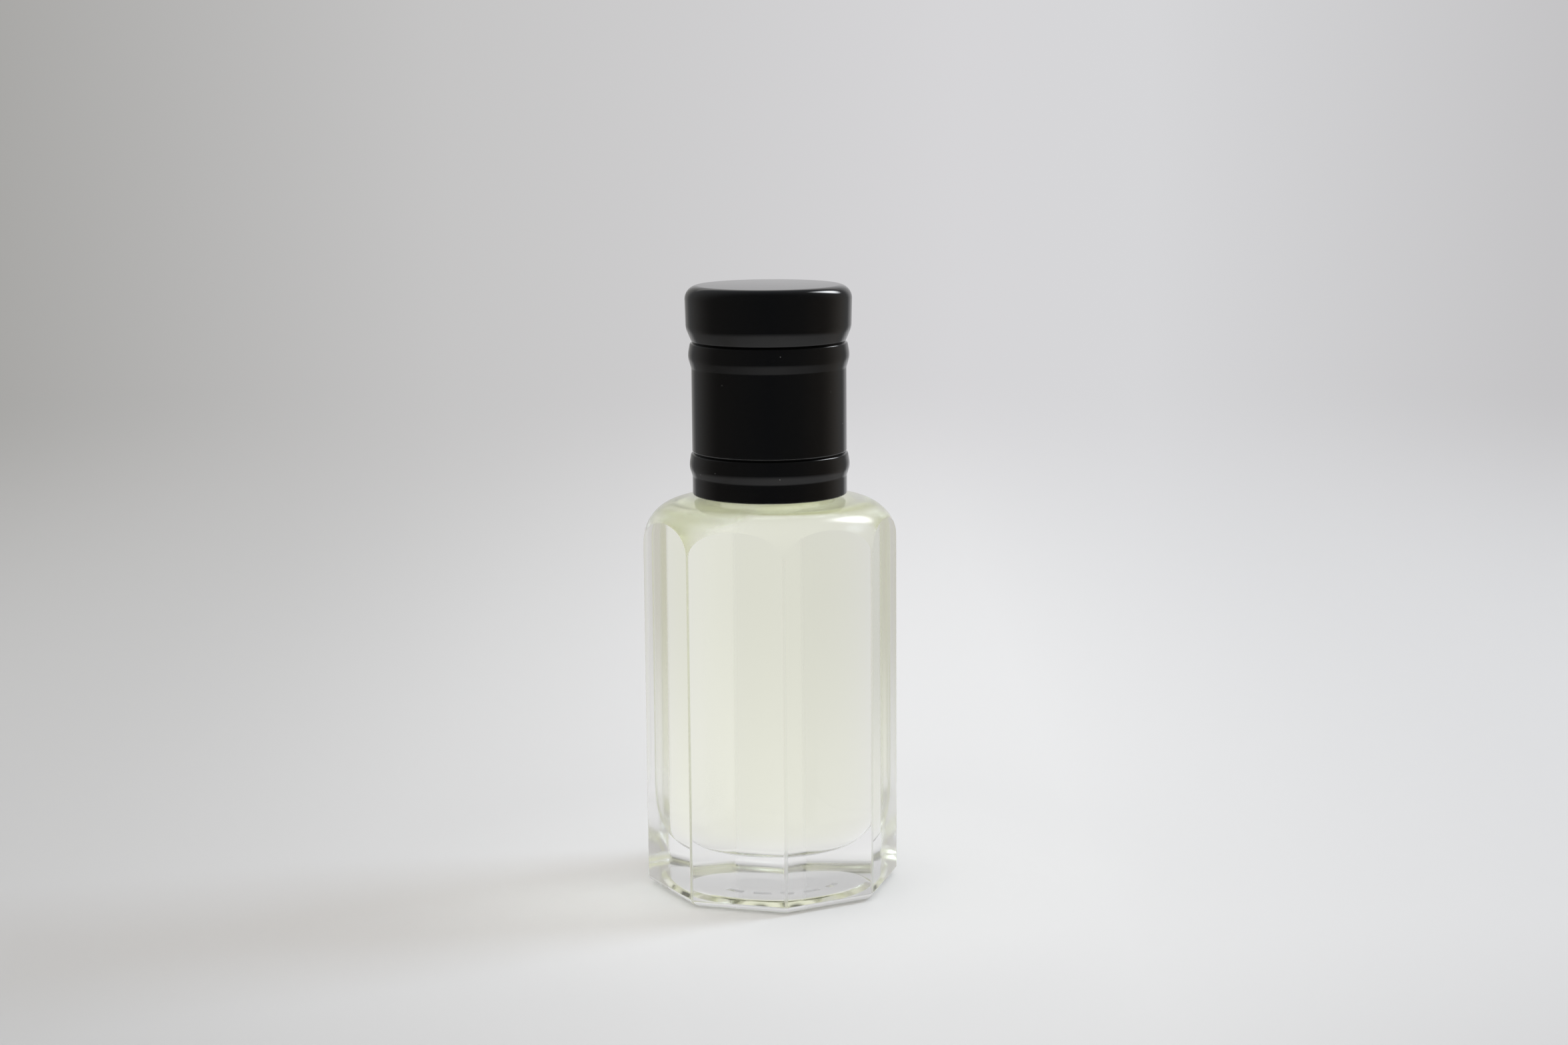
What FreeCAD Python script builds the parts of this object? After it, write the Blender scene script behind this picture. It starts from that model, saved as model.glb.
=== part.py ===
import FreeCAD, Part
import math
import os
from FreeCAD import Vector

# Eight-sided glass bottle with a roll-on mouth and a tall beaded screw cap.
# Millimetres. The origin is the centre of the base, +Z runs up the bottle, and flats face along X and Y.

# Glass body
side_count = 8
across_flats = 24.5
corner_trim = 0.06  # the round blank takes this much off each corner, which leaves a narrow land
shoulder_height = 40.4  # where the body wall and the shoulder would meet without their round
shoulder_rise = 0.8  # climb of the shoulder from the wall to the neck
shoulder_round = 4.5
heel_round = 0.9
glass_wall = 2.65  # at the middle of a flat
base_thickness = 4.65
cavity_foot_round = 4.5
shoulder_wall = 1.4
cavity_shoulder_round = 3.6
cavity_neck_round = 0.9

# Underside of the base
bearing_width = 3.65  # from the middle of a flat in to the push-up
rim_run = 0.9  # of the push-up's steep rim
rim_rise = 0.5
rim_round = 1.5
push_up_flat = 2.6  # radius of its level middle
push_up_depth = 0.8
push_up_round = 30.0
mark_count = 4
mark_step = 36  # degrees from one mark to the next
mark_bearing = -59  # degrees from X to the middle of the row
mark_inset = 3.8  # from the edge of the push-up in to the row of marks
mark_length = 2.0
mark_width = 1.1
mark_height = 0.3

# Neck
neck_radius = 5.35
neck_wall = 1.25
neck_height = 10.38
neck_foot_round = 0.6
neck_lip_round = 0.35

# Screw thread, right-handed, on the neck and in the cap
thread_pitch = 2.1
thread_depth = 0.65
ridge_root_share = 0.48  # of the pitch
ridge_crest_share = 0.24
thread_radial_gap = 0.12
thread_play = 0.1  # along the axis, on the flank that pulls the cap down
thread_end_run = 1.6  # length of the sloped end of a ridge
thread_bury = 0.15  # how far a ridge is rooted in its wall
neck_thread_turns = 1.75
neck_thread_drop = 2.7  # from the rim down to the upper end of the thread
cap_thread_turns = 2.0
cap_thread_lead_in = 1.2  # from the insert's mouth up to the lower end of the thread

# Roller housing and ball
housing_fit = 0.05  # between the plug and the neck's bore
housing_bite = 0.03  # how far the plug's rings press into the bore
housing_wall = 0.6
plug_length = 7.2
plug_ring_count = 3
plug_ring_height = 0.7
flange_inset = 0.2  # from the neck's outside
flange_thickness = 0.9
flange_round = 0.2
cup_wall = 0.45  # at the lip of the cup
cup_foot = 0.35  # how far the cup widens at the flange
ball_clearance = 0.05
ball_lift = 0.42  # the ball's centre above the rim
lip_above_centre = 1.4
feed_radius = 1.5
seat_thickness = 0.8

# Liquid
fill_gap = 1.2  # from the plug down to the surface
wet_gap = 0.03  # between the liquid's solid and the glass

# Seal disc
disc_thickness = 1.2
disc_clearance = 0.05
disc_radial_gap = 0.06
disc_keeper = 0.26  # how far the keeper bead reaches in under the disc
disc_keeper_height = 0.5

# Cap insert
insert_wall = 0.7
insert_recess = 0.5  # from the shell's lower edge up to the insert
insert_mouth_chamfer = 0.3
web_thickness = 1.0
head_space = 3.8
rib_count = 12
rib_width = 0.5
rib_bite = 0.03  # how far the ribs press into the shell
rib_margin = 1.5  # from each end of the insert

# Cap shell
cap_gap = 0.25  # from the neck's foot up to the cap's lower edge
shell_fit = 0.03
shell_wall = 1.15
shell_top = 1.5
shell_top_chamfer = 0.5
skirt_round = 0.15
head_overhang = 0.66
head_draft = 0.1
head_round = 1.4
head_foot_round = 2.0
head_foot = 4.35  # from the top down to where the head turns in
groove_drop = 5.62  # from the top down to the groove under the head
upper_bead_drop = 5.82  # from the top down to the bead's lip
upper_bead_height = 0.3
upper_bead_crown = 1.09  # from the lip down to the crest
upper_bead_face = 0.55
upper_bead_fall = 1.03
lower_bead_lift = 4.32  # from the cap's lower edge up to the bead's lip
lower_bead_height = 0.28
lower_bead_crown = 0.99
lower_bead_face = 0.57
lower_bead_fall = 0.84
bead_lip = 0.12
bead_round = 3.0
bead_foot_round = 0.8

# Radii and heights that follow from the sizes above
corner_radius = across_flats / 2 / math.cos(math.pi / side_count)
blank_radius = corner_radius - corner_trim
cavity_radius = across_flats / 2 - glass_wall
bore_radius = neck_radius - neck_wall
push_up_radius = across_flats / 2 - bearing_width
rim_radius = push_up_radius - rim_run
mark_radius = push_up_radius - mark_inset
mark_share = (rim_radius - mark_radius) / (rim_radius - push_up_flat)  # of the way from the rim to the flat
mark_foot_z = rim_rise + mark_share * (push_up_depth - rim_rise) - mark_height
neck_foot_z = shoulder_height + shoulder_rise
rim_z = neck_foot_z + neck_height

plug_radius = bore_radius - housing_fit
socket_radius = plug_radius - housing_wall
ball_radius = socket_radius - ball_clearance
ball_z = rim_z + ball_lift
lip_z = ball_z + lip_above_centre
plug_foot_z = rim_z - plug_length
fill_z = plug_foot_z - fill_gap

crest_radius = neck_radius + thread_depth
thread_bore_radius = crest_radius + thread_radial_gap
insert_radius = thread_bore_radius + insert_wall
shell_bore_radius = insert_radius + shell_fit
barrel_radius = shell_bore_radius + shell_wall
disc_radius = thread_bore_radius - disc_radial_gap
disc_z = ball_z + ball_radius + disc_clearance
web_z = disc_z + disc_thickness + disc_clearance
insert_top_z = web_z + web_thickness + head_space
cap_top_z = insert_top_z + shell_top
cap_foot_z = neck_foot_z + cap_gap
insert_foot_z = cap_foot_z + insert_recess

ridge_root_half = ridge_root_share * thread_pitch / 2
ridge_crest_half = ridge_crest_share * thread_pitch / 2
ridge_slope = (ridge_root_half - ridge_crest_half) / thread_depth
neck_thread_z = rim_z - neck_thread_drop - neck_thread_turns * thread_pitch
# The cap's ridge lies this far below the neck's, so that their flanks are the play apart
flank_offset = ridge_root_half + ridge_crest_half - ridge_slope * thread_radial_gap + thread_play

side_share = 0.49  # of a straight side, the most that one round may take up
nothing = 1e-6


def outline(corners):
    """Closed wire in the XZ plane through corners (radius, height, round). Its sides limit each round."""
    points = [Vector(c[0], 0, c[1]) for c in corners]
    rounds = [c[2] if len(c) > 2 else 0.0 for c in corners]
    runs = []
    for i, here in enumerate(points):
        before = points[i - 1] - here
        after = points[(i + 1) % len(points)] - here
        room = side_share * min(before.Length, after.Length)
        before.normalize()
        after.normalize()
        half_angle = before.getAngle(after) / 2
        reach = min(rounds[i] / math.tan(half_angle), room)
        if reach < nothing:
            runs.append((here, None, here))
            continue
        middle = before + after
        middle.normalize()
        radius = reach * math.tan(half_angle)
        summit = here + middle * (radius / math.sin(half_angle) - radius)
        runs.append((here + before * reach, summit, here + after * reach))
    edges = []
    for i, (start, summit, end) in enumerate(runs):
        if summit is not None:
            edges.append(Part.Arc(start, summit, end).toShape())
        follow = runs[(i + 1) % len(runs)][0]
        edges.append(Part.makeLine(end, follow))
    return Part.Wire(edges)


def turned(corners):
    """Solid of revolution about Z."""
    return Part.Face(outline(corners)).revolve(Vector(0, 0, 0), Vector(0, 0, 1), 360)


def polar(radius, angle, z):
    return Vector(radius * math.cos(angle), radius * math.sin(angle), z)


def thread_ridge(root, crest, foot_z, turns, start_angle):
    """Helical ridge from a root radius to a crest radius, with both its ends sloped down to the root."""
    outward = 1 if crest > root else -1
    buried = root - outward * thread_bury
    buried_half = ridge_root_half + ridge_slope * thread_bury
    profile = Part.makePolygon([
        Vector(buried, 0, -buried_half),
        Vector(crest, 0, -ridge_crest_half),
        Vector(crest, 0, ridge_crest_half),
        Vector(buried, 0, buried_half),
        Vector(buried, 0, -buried_half),
    ])
    spine = Part.Wire(Part.makeHelix(thread_pitch, turns * thread_pitch, root).Edges)
    ridge = spine.makePipeShell([profile], True, True)
    run = thread_end_run / root
    past = crest + outward * thread_depth
    for end_angle, end_z, inward in ((0, 0, 1), (2 * math.pi * turns, turns * thread_pitch, -1)):
        wedge = Part.makePolygon([
            polar(buried, end_angle - inward * run / 2, end_z - thread_pitch / 2),
            polar(past, end_angle + inward * run, end_z - thread_pitch / 2),
            polar(past, end_angle - inward * run, end_z - thread_pitch / 2),
            polar(buried, end_angle - inward * run / 2, end_z - thread_pitch / 2),
        ])
        ridge = ridge.cut(Part.Face(wedge).extrude(Vector(0, 0, thread_pitch)))
    ridge.rotate(Vector(0, 0, 0), Vector(0, 0, 1), math.degrees(start_angle))
    ridge.translate(Vector(0, 0, foot_z))
    return ridge


def cavity(gap, top):
    """Round inside of the bottle, drawn in by a gap and cut off at a height."""
    ceiling = shoulder_height - shoulder_wall
    return turned([
        (0, base_thickness + gap),
        (cavity_radius - gap, base_thickness + gap, cavity_foot_round),
        (cavity_radius - gap, ceiling - gap, cavity_shoulder_round),
        (bore_radius - gap, ceiling + shoulder_rise - gap, cavity_neck_round),
        (bore_radius - gap, top),
        (0, top),
    ])


def glass_bottle():
    blank = turned([
        (0, 0),
        (blank_radius, 0),
        (blank_radius, shoulder_height, shoulder_round),
        (neck_radius, neck_foot_z, neck_foot_round),
        (neck_radius, rim_z, neck_lip_round),
        (0, rim_z),
    ])
    half_side = math.pi / side_count
    ring = [polar(corner_radius, half_side * (2 * k + 1), 0) for k in range(side_count + 1)]
    prism = Part.Face(Part.makePolygon(ring)).extrude(Vector(0, 0, rim_z))
    heel = [e for e in prism.Edges if e.BoundBox.ZMax < nothing]
    body = blank.common(prism.makeFillet(heel_round, heel))
    body = body.fuse(thread_ridge(neck_radius, crest_radius, neck_thread_z, neck_thread_turns, 0))
    body = body.cut(cavity(0, rim_z))
    body = body.cut(turned([
        (0, -push_up_depth),
        (push_up_radius, -push_up_depth),
        (push_up_radius, 0),
        (rim_radius, rim_rise, rim_round),
        (push_up_flat, push_up_depth, push_up_round),
        (0, push_up_depth),
    ]))
    for k in range(mark_count):
        mark = Part.makeBox(mark_width, mark_length, 2 * mark_height)
        mark.translate(Vector(mark_radius - mark_width / 2, -mark_length / 2, mark_foot_z))
        turn = mark_bearing + mark_step * (k - (mark_count - 1) / 2)
        mark.rotate(Vector(0, 0, 0), Vector(0, 0, 1), turn)
        body = body.fuse(mark)
    return body


def aftershave_fill():
    return cavity(wet_gap, fill_z)


def roller_housing():
    lip_inner = math.sqrt(socket_radius ** 2 - lip_above_centre ** 2)
    seat_z = ball_z - math.sqrt(socket_radius ** 2 - feed_radius ** 2)
    flange_top = rim_z + flange_thickness
    hollow_radius = plug_radius - housing_wall
    ring_step = plug_length / (plug_ring_count + 1)
    corners = [
        (feed_radius, plug_foot_z),
        (plug_radius - housing_fit, plug_foot_z),
    ]
    for k in range(plug_ring_count):
        ring_z = plug_foot_z + (k + 1) * ring_step
        corners += [
            (plug_radius, ring_z - plug_ring_height / 2),
            (bore_radius + housing_bite, ring_z),
            (plug_radius, ring_z + plug_ring_height / 2),
        ]
    corners += [
        (plug_radius, rim_z),
        (neck_radius - flange_inset, rim_z, flange_round),
        (neck_radius - flange_inset, flange_top, flange_round),
        (plug_radius + cup_foot, flange_top, flange_round),
        (lip_inner + cup_wall, lip_z, flange_round),
        (feed_radius, lip_z),
    ]
    housing = turned(corners)
    housing = housing.cut(Part.makeSphere(socket_radius, Vector(0, 0, ball_z)))
    hollow_height = seat_z - seat_thickness - plug_foot_z
    return housing.cut(Part.makeCylinder(hollow_radius, hollow_height, Vector(0, 0, plug_foot_z)))


def roller_ball():
    return Part.makeSphere(ball_radius, Vector(0, 0, ball_z))


def seal_disc():
    return Part.makeCylinder(disc_radius, disc_thickness, Vector(0, 0, disc_z))


def cap_insert():
    keeper_top = disc_z - disc_clearance
    keeper_radius = disc_radius - disc_keeper
    body = turned([
        (0, web_z),
        (thread_bore_radius, web_z),
        (thread_bore_radius, keeper_top),
        (keeper_radius, keeper_top - disc_keeper_height / 2),
        (thread_bore_radius, keeper_top - disc_keeper_height),
        (thread_bore_radius, insert_foot_z + insert_mouth_chamfer),
        (thread_bore_radius + insert_mouth_chamfer, insert_foot_z),
        (insert_radius, insert_foot_z),
        (insert_radius, insert_top_z - shell_top_chamfer),
        (insert_radius - shell_top_chamfer, insert_top_z),
        (thread_bore_radius, insert_top_z),
        (thread_bore_radius, web_z + web_thickness),
        (0, web_z + web_thickness),
    ])
    foot_z = insert_foot_z + cap_thread_lead_in
    start_angle = 2 * math.pi * (foot_z - neck_thread_z + flank_offset) / thread_pitch
    ridge_crest = neck_radius + thread_radial_gap
    body = body.fuse(thread_ridge(thread_bore_radius, ridge_crest, foot_z, cap_thread_turns, start_angle))
    rib_length = insert_top_z - insert_foot_z - 2 * rib_margin
    for k in range(rib_count):
        rib_depth = insert_wall / 2 + shell_fit + rib_bite
        rib = Part.makeBox(rib_depth, rib_width, rib_length)
        rib.translate(Vector(insert_radius - insert_wall / 2, -rib_width / 2, insert_foot_z + rib_margin))
        rib.rotate(Vector(0, 0, 0), Vector(0, 0, 1), 360 * k / rib_count)
        body = body.fuse(rib)
    return body


def bead(lip_top_z, height, crown, face, fall):
    """Corners of one raised bead on the barrel, from below to the lip at its top."""
    crest_z = lip_top_z - crown
    return [
        (barrel_radius, crest_z - face - fall, bead_foot_round),
        (barrel_radius + height, crest_z - face, bead_round),
        (barrel_radius + height, crest_z, bead_round),
        (barrel_radius + bead_lip, lip_top_z - bead_lip, bead_round),
        (barrel_radius - bead_lip, lip_top_z),
    ]


def cap_shell():
    head_radius = barrel_radius + head_overhang
    lower_z = cap_foot_z + lower_bead_lift
    upper_z = cap_top_z - upper_bead_drop
    return turned([
        (shell_bore_radius, cap_foot_z, skirt_round),
        (barrel_radius, cap_foot_z, skirt_round),
        *bead(lower_z, lower_bead_height, lower_bead_crown, lower_bead_face, lower_bead_fall),
        (barrel_radius, lower_z + 2 * bead_lip),
        *bead(upper_z, upper_bead_height, upper_bead_crown, upper_bead_face, upper_bead_fall),
        (barrel_radius, cap_top_z - groove_drop, bead_foot_round),
        (head_radius - head_draft, cap_top_z - head_foot, head_foot_round),
        (head_radius, cap_top_z, head_round),
        (0, cap_top_z),
        (0, insert_top_z),
        (shell_bore_radius - shell_top_chamfer, insert_top_z),
        (shell_bore_radius, insert_top_z - shell_top_chamfer),
    ])


pieces = {
    "glass_bottle": glass_bottle,
    "aftershave_fill": aftershave_fill,
    "roller_housing": roller_housing,
    "roller_ball": roller_ball,
    "seal_disc": seal_disc,
    "cap_insert": cap_insert,
    "cap_shell": cap_shell,
}

os.makedirs("parts", exist_ok=True)
for name, make in pieces.items():
    shape = make()
    print(name, "valid:", shape.isValid(), "solids:", len(shape.Solids), "mm3:", round(shape.Volume, 1))
    shape.exportStep("parts/" + name + ".step")
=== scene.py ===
import math
import bmesh
import bpy
from mathutils import Matrix, Vector


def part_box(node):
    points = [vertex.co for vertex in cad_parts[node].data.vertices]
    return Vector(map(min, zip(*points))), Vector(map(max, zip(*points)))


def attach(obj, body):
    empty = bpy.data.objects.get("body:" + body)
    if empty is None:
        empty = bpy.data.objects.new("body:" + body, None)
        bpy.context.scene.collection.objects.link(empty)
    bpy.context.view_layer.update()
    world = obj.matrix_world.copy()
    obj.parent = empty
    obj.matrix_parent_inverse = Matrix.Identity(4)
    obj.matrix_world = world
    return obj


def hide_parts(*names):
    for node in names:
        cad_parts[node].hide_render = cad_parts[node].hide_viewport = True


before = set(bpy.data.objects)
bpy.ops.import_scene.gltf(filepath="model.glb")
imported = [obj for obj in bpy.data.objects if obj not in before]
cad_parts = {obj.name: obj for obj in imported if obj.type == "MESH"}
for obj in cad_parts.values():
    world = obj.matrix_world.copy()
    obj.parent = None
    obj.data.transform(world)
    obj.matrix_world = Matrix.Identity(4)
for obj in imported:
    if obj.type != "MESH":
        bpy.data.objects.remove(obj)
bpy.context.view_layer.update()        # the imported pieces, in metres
mm = 0.001               # sizes in the dictionaries are millimetres, angles are degrees
fullTurn = 2 * math.pi
hairline = 1e-6          # metres, closer than this is the same point
slack = 0.01             # millimetres, for picking faces by their place
levelNormal = 0.9        # a face is level where its normal points up or down by more than this
coarseArc = 9            # degrees to a step of a round, where the piece doesn't say
roundShare = 0.49        # most of a side that one round may take up


def span(node):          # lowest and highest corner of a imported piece, in millimetres
    low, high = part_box(node)
    return low / mm, high / mm


print("frame loaded:", ", ".join(sorted(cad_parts)))


# Hand tools: selecting, drawing a profile, turning it on the axis

def cleanSlate():        # object mode, nothing selected
    if bpy.context.mode != "OBJECT":
        bpy.ops.object.mode_set(mode="OBJECT")
    bpy.ops.object.select_all(action="DESELECT")


def editOnly(piece):
    cleanSlate()
    bpy.context.view_layer.objects.active = piece
    piece.select_set(True)
    bpy.ops.object.mode_set(mode="EDIT")


def startPoint(name, spot):              # a plane drawn together into one vertex, left in edit mode
    cleanSlate()
    bpy.ops.mesh.primitive_plane_add(size=mm)
    piece = bpy.context.object
    piece.name = piece.data.name = name
    bpy.ops.object.mode_set(mode="EDIT")
    bpy.ops.mesh.select_mode(type="VERT")
    bpy.ops.mesh.select_all(action="SELECT")
    bpy.ops.mesh.merge(type="CENTER")
    bpy.ops.transform.translate(value=(spot.x * mm, 0, spot.y * mm))
    return piece


def drawOn(spots):                       # extrudes the vertex from spot to spot, (radius, height)
    for here, there in zip(spots, spots[1:]):
        step = (there - here) * mm
        bpy.ops.mesh.extrude_region_move(TRANSFORM_OT_translate={"value": (step.x, 0, step.y)})


def closeUp():                           # joins seams and poles, faces outwards
    bpy.ops.mesh.select_all(action="SELECT")
    bpy.ops.mesh.remove_doubles(threshold=hairline)
    bpy.ops.mesh.normals_make_consistent(inside=False)


def roundOff(corners, arcStep=coarseArc):     # corners (radius, height, round) to points, rounds as arcs
    spots = [Vector(corner[:2]) for corner in corners]
    points = []
    for i, here in enumerate(spots):
        wanted = corners[i][2] if len(corners[i]) > 2 else 0
        if not wanted:
            points.append(here)
            continue
        before, after = spots[i - 1] - here, spots[i + 1] - here
        halfAngle = before.angle(after) / 2
        reach = min(wanted / math.tan(halfAngle), roundShare * min(before.length, after.length))
        radius = reach * math.tan(halfAngle)
        middle = (before.normalized() + after.normalized()).normalized()
        centre = here + middle * radius / math.sin(halfAngle)
        arm = here + before.normalized() * reach - centre
        sweep = math.pi - 2 * halfAngle
        turnWay = 1 if before.cross(after) < 0 else -1
        count = max(3, math.ceil(math.degrees(sweep) / arcStep))
        for k in range(count + 1):
            points.append(centre + Matrix.Rotation(turnWay * sweep * k / count, 2) @ arm)
    return points


def lathe(name, corners, steps, arcStep=coarseArc):     # a profile spun on the axis, left in edit mode
    points = roundOff(corners, arcStep)
    piece = startPoint(name, points[0])
    drawOn(points)
    bpy.ops.mesh.select_all(action="SELECT")
    bpy.ops.mesh.spin(steps=steps, angle=fullTurn, center=(0, 0, 0), axis=(0, 0, 1))
    closeUp()
    return piece


def pick(piece, kind, test):             # selects the faces, edges or vertices that pass the test
    bpy.ops.mesh.select_mode(type={"faces": "FACE", "edges": "EDGE", "verts": "VERT"}[kind])
    bpy.ops.mesh.select_all(action="DESELECT")
    mesh = bmesh.from_edit_mesh(piece.data)
    for part in getattr(mesh, kind):
        if test(part):
            part.select_set(True)
    mesh.select_flush_mode()
    bmesh.update_edit_mesh(piece.data)


def place(face):                         # radius, height and angle of a face's middle, in mm and degrees
    middle = face.calc_center_median() / mm
    return middle.xy.length, middle.z, math.degrees(math.atan2(middle.y, middle.x))


def ringTo(drop, scale):                 # extrudes the selected ring down and draws it in
    bpy.ops.mesh.extrude_region_move(TRANSFORM_OT_translate={"value": (0, 0, -drop * mm)})
    bpy.ops.transform.resize(value=(scale, scale, 1), center_override=(0, 0, 0))


def meanRadius(piece):                   # of the selected vertices, in mm
    mesh = bmesh.from_edit_mesh(piece.data)
    radii = [vert.co.xy.length for vert in mesh.verts if vert.select]
    return sum(radii) / len(radii) / mm


def applyModifier(piece, kind, **settings):
    cleanSlate()
    bpy.context.view_layer.objects.active = piece
    piece.select_set(True)
    bpy.ops.object.modifier_add(type=kind)
    modifier = piece.modifiers[-1]
    for key, value in settings.items():
        setattr(modifier, key, value)
    bpy.ops.object.modifier_apply(modifier=modifier.name)


def joinOn(piece, addition):             # fuses a second shape on and removes it
    applyModifier(piece, "BOOLEAN", operation="UNION", solver="EXACT", object=addition)
    mesh = addition.data
    bpy.data.objects.remove(addition)
    bpy.data.meshes.remove(mesh)


def finishPiece(piece, node, body, slotName, sharpAngle, *finishes):
    cleanSlate()
    bpy.context.view_layer.objects.active = piece
    piece.select_set(True)
    bpy.ops.object.shade_smooth_by_angle(angle=math.radians(sharpAngle))
    for finish in finishes:
        piece.data.materials.append(finish)
    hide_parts(node)
    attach(piece, body)
    print("piece", piece.name, "faces:", len(piece.data.polygons))


def useFinish(piece, index, test):       # gives the faces that pass the test another of the piece's finishes
    editOnly(piece)
    pick(piece, "faces", test)
    piece.active_material_index = index
    bpy.ops.object.material_slot_assign()
    cleanSlate()


# Shader maths: a socket that can stand in a Python sum, and a finish that makes nodes

white = (1, 1, 1, 1)
black = (0, 0, 0, 1)


class Signal:
    def __init__(self, finish, socket):
        self.finish, self.socket = finish, socket

    def maths(self, operation, first, second):
        return self.finish.node("ShaderNodeMath", {"operation": operation}, {0: first, 1: second})

    def __add__(self, other):
        return self.maths("ADD", self, other)

    def __radd__(self, other):
        return self.maths("ADD", other, self)

    def __rsub__(self, other):
        return self.maths("SUBTRACT", other, self)

    def __mul__(self, other):
        return self.maths("MULTIPLY", self, other)

    def __rmul__(self, other):
        return self.maths("MULTIPLY", other, self)

    def __gt__(self, other):
        return self.maths("GREATER_THAN", self, other)

    def __lt__(self, other):
        return self.maths("LESS_THAN", self, other)


class Finish:
    def __init__(self, owner):
        owner.use_nodes = True
        self.owner, self.tree = owner, owner.node_tree
        self.tree.nodes.clear()

    def node(self, kind, settings=None, sockets=None, output=0):
        made = self.tree.nodes.new(kind)
        for key, value in (settings or {}).items():
            if key == "stops":           # a ramp's (place, colour) pairs
                elements = made.color_ramp.elements
                while len(elements) < len(value):
                    elements.new(1)
                for element, (spot, colour) in zip(elements, value):
                    element.position, element.color = spot, colour
            else:
                setattr(made, key, value)
        for key, value in (sockets or {}).items():
            if isinstance(value, Signal):
                self.tree.links.new(value.socket, made.inputs[key])
            else:
                made.inputs[key].default_value = value
        return Signal(self, made.outputs[output]) if made.outputs else None

    def places(self):                    # the piece's own coordinates, in metres
        return self.node("ShaderNodeTexCoord", output="Object")

    def vectorMaths(self, operation, output, *inputs):
        return self.node("ShaderNodeVectorMath", {"operation": operation}, dict(enumerate(inputs)), output)

    def noise(self, perMillimetre, detail=3):
        sockets = {"Vector": self.places(), "Scale": perMillimetre / mm, "Detail": detail}
        return self.node("ShaderNodeTexNoise", None, sockets)

    def voronoi(self, perMillimetre, output):
        sockets = {"Vector": self.places(), "Scale": perMillimetre / mm}
        return self.node("ShaderNodeTexVoronoi", None, sockets, output)

    def ramp(self, value, low, high):    # 0 below low, 1 above high
        sockets = {"Value": value, "From Min": low, "From Max": high}
        return self.node("ShaderNodeMapRange", {"interpolation_type": "SMOOTHSTEP"}, sockets)

    def blend(self, share, first, second):
        return self.node("ShaderNodeMix", {"data_type": "RGBA"}, {0: share, 6: first, 7: second}, 2)

    def bump(self, height, distance):
        return self.node("ShaderNodeBump", None, {"Height": height, "Distance": distance * mm})

    def surface(self, shader, volume=None):
        sockets = {"Surface": shader}
        if volume:
            sockets["Volume"] = volume
        self.node("ShaderNodeOutputMaterial", None, sockets)
        return self.owner


def newFinish(name):
    return Finish(bpy.data.materials.new(name))


glassLook = {
    "glassIor": 1.52, "liquidIor": 1.505, "softness": 0.085,
    "cornerSoftness": 0.2, "cornerFade": 0.05,               # what the worn corners add, and how far in
    "shoulderSoftness": 0.08, "shoulderFrom": 38, "shoulderTo": 40.5,    # what the shoulder adds, and where
    "wavesPerMillimetre": 0.16, "waveDetail": 1, "waveHeight": 0.0002,
    "liquidColour": (0.965, 0.99, 0.6, 1), "liquidDensity": 17.5,
}


def clearFinish(name, ior):              # glass, or the surface of the liquid
    look = glassLook
    finish = newFinish(name)
    waves = finish.noise(look["wavesPerMillimetre"], look["waveDetail"])
    height = finish.node("ShaderNodeSeparateXYZ", None, {"Vector": finish.places()}, "Z")
    shoulder = finish.ramp(height, look["shoulderFrom"] * mm, look["shoulderTo"] * mm)
    levelPlace = finish.vectorMaths("MULTIPLY", "Vector", finish.places(), (1, 1, 0))
    radius = finish.vectorMaths("LENGTH", "Value", levelPlace)
    corner = finish.ramp(radius, (blankRadius - look["cornerFade"]) * mm, blankRadius * mm)
    softness = look["softness"] + shoulder * look["shoulderSoftness"] + corner * look["cornerSoftness"]
    return finish.surface(finish.node("ShaderNodeBsdfPrincipled", None, {
        "Base Color": white, "Roughness": softness, "IOR": ior, "Transmission Weight": 1,
        "Normal": finish.bump(waves, look["waveHeight"]),
    }))


def liquidFinish():                      # bends no light itself, because the wetted glass round it does
    finish = newFinish("aftershaveLiquid")
    clear = finish.node("ShaderNodeBsdfPrincipled", None, {
        "Base Color": white, "Roughness": 0, "IOR": 1, "Transmission Weight": 1})
    depth = finish.node("ShaderNodeVolumeAbsorption", None, {
        "Color": glassLook["liquidColour"], "Density": glassLook["liquidDensity"]})
    return finish.surface(clear, depth)


glossLook = {
    "black": (0.002, 0.002, 0.002, 1), "ior": 1.5, "roughness": 0.05,
    "hazePerMillimetre": 0.5, "hazeDetail": 4, "hazeRoughness": 0.05,
    "swellPerMillimetre": 0.3, "swellDetail": 1, "swellHeight": 0.004,
    "dustPerMillimetre": 2, "dustSize": 0.11, "dustRarity": 0.9,         # size is a share of the spacing
    "dustColour": (0.16, 0.16, 0.16, 1), "dustRoughness": 0.3,
}


def glossBlackFinish():
    look = glossLook
    finish = newFinish("glossBlack")
    haze = finish.noise(look["hazePerMillimetre"], look["hazeDetail"])
    swell = finish.noise(look["swellPerMillimetre"], look["swellDetail"])
    near = finish.voronoi(look["dustPerMillimetre"], "Distance") < look["dustSize"]
    rare = finish.voronoi(look["dustPerMillimetre"], "Color") > look["dustRarity"]
    dust = near * rare
    return finish.surface(finish.node("ShaderNodeBsdfPrincipled", None, {
        "Base Color": finish.blend(dust, look["black"], look["dustColour"]), "IOR": look["ior"],
        "Roughness": look["roughness"] + haze * look["hazeRoughness"] + dust * look["dustRoughness"],
        "Normal": finish.bump(swell, look["swellHeight"]),
    }))


linerLook = {
    "dark": (0.02, 0.02, 0.021, 1), "light": (0.04, 0.04, 0.041, 1),
    "grainPerMillimetre": 6, "grainHeight": 0.01, "roughness": 0.35, "grainRoughness": 0.2,
}


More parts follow.
